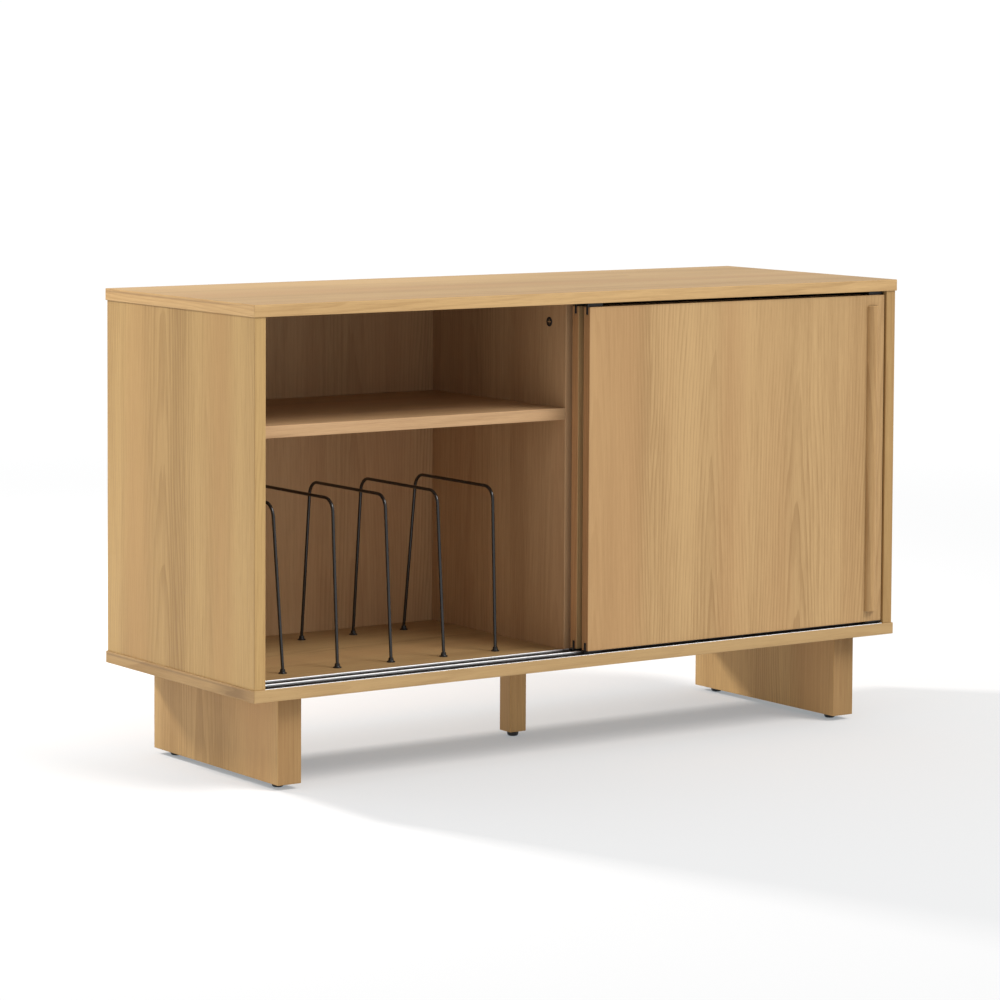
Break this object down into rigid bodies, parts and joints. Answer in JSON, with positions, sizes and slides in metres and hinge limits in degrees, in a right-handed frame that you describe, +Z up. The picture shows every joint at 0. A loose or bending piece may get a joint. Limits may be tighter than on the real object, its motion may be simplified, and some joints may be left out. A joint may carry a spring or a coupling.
{
  "type": "media cabinet",
  "caption": "Low woodgrain record cabinet with sliding doors on a flush double track, wire record dividers, shelves and slab legs.",
  "frame": {"origin": "on the floor, under the centre of the bounding box", "axes": "+X to the right seen from the front, +Y to the back, +Z up"},
  "size_m": [1.2, 0.443, 0.71],
  "materials": {
    "oak_boards": "satin light oak woodgrain, grain left to right",
    "oak_uprights": "satin light oak woodgrain, grain upright",
    "oak_doors": "satin light oak woodgrain, grain upright",
    "oak_legs": "satin light oak woodgrain, grain upright",
    "track_aluminium": "clear anodised, drawn along its length",
    "track_plastic": "black, satin",
    "glide_plastic": "black, moulded",
    "divider_wire": "black powder coat, semi-gloss",
    "collar_plastic": "black, moulded",
    "fitting_plastic": "black, moulded",
    "pin_steel": "nickel plated",
    "foot_plastic": "black, moulded"
  },
  "bodies": {
    "root": {"back_panel": "oak_uprights", "bottom_panel": "oak_boards", "bottom_track": "track_aluminium", "centre_divider": "oak_uprights", "centre_leg": "oak_legs", "divider_cam_lock": "fitting_plastic", "inner_channel_insert": "track_plastic", "left_leg": "oak_legs", "left_shelf": "oak_boards", "left_shelf_pin_inner_front": "pin_steel", "left_shelf_pin_inner_rear": "pin_steel", "left_shelf_pin_outer_front": "pin_steel", "left_shelf_pin_outer_rear": "pin_steel", "left_side_cam_lock_front": "fitting_plastic", "left_side_cam_lock_rear": "fitting_plastic", "left_side_panel": "oak_uprights", "outer_channel_insert": "track_plastic", "record_divider_1": "divider_wire", "record_divider_2": "divider_wire", "record_divider_3": "divider_wire", "record_divider_4": "divider_wire", "record_divider_5": "divider_wire", "record_divider_collar_1_front": "collar_plastic", "record_divider_collar_1_rear": "collar_plastic", "record_divider_collar_2_front": "collar_plastic", "record_divider_collar_2_rear": "collar_plastic", "record_divider_collar_3_front": "collar_plastic", "record_divider_collar_3_rear": "collar_plastic", "record_divider_collar_4_front": "collar_plastic", "record_divider_collar_4_rear": "collar_plastic", "record_divider_collar_5_front": "collar_plastic", "record_divider_collar_5_rear": "collar_plastic", "right_leg": "oak_legs", "right_shelf": "oak_boards", "right_shelf_pin_inner_front": "pin_steel", "right_shelf_pin_inner_rear": "pin_steel", "right_shelf_pin_outer_front": "pin_steel", "right_shelf_pin_outer_rear": "pin_steel", "right_side_cam_lock_front": "fitting_plastic", "right_side_cam_lock_rear": "fitting_plastic", "right_side_panel": "oak_uprights", "top_panel": "oak_boards", "top_track": "track_plastic"},
    "outer_door": {"outer_door": "oak_doors", "outer_door_pull": "oak_doors", "outer_door_glide_left": "glide_plastic", "outer_door_glide_right": "glide_plastic", "outer_door_guide_left": "glide_plastic", "outer_door_guide_right": "glide_plastic"},
    "inner_door": {"inner_door": "oak_doors", "inner_door_pull": "oak_doors", "inner_door_glide_left": "glide_plastic", "inner_door_glide_right": "glide_plastic", "inner_door_guide_left": "glide_plastic", "inner_door_guide_right": "glide_plastic"},
    "left_front_foot": {"left_front_foot": "foot_plastic"},
    "left_rear_foot": {"left_rear_foot": "foot_plastic"},
    "right_front_foot": {"right_front_foot": "foot_plastic"},
    "right_rear_foot": {"right_rear_foot": "foot_plastic"},
    "centre_foot": {"centre_foot": "foot_plastic"}
  },
  "joints": [
    {"name": "outer_door_slide", "type": "slide", "parent": "root", "child": "outer_door", "axis": [1, 0, 0], "range_m": [-0.572, 0]},
    {"name": "inner_door_slide", "type": "slide", "parent": "root", "child": "inner_door", "axis": [1, 0, 0], "range_m": [-0.572, 0]},
    {"name": "left_front_foot_turn", "type": "hinge", "parent": "root", "child": "left_front_foot", "pos_m": [-0.522, -0.1535, 0.008], "axis": [0, 0, 1], "continuous": true},
    {"name": "left_rear_foot_turn", "type": "hinge", "parent": "root", "child": "left_rear_foot", "pos_m": [-0.522, 0.1425, 0.008], "axis": [0, 0, 1], "continuous": true},
    {"name": "right_front_foot_turn", "type": "hinge", "parent": "root", "child": "right_front_foot", "pos_m": [0.522, -0.1535, 0.008], "axis": [0, 0, 1], "continuous": true},
    {"name": "right_rear_foot_turn", "type": "hinge", "parent": "root", "child": "right_rear_foot", "pos_m": [0.522, 0.1425, 0.008], "axis": [0, 0, 1], "continuous": true},
    {"name": "centre_foot_turn", "type": "hinge", "parent": "root", "child": "centre_foot", "pos_m": [0, -0.0055, 0.008], "axis": [0, 0, 1], "continuous": true}
  ]
}
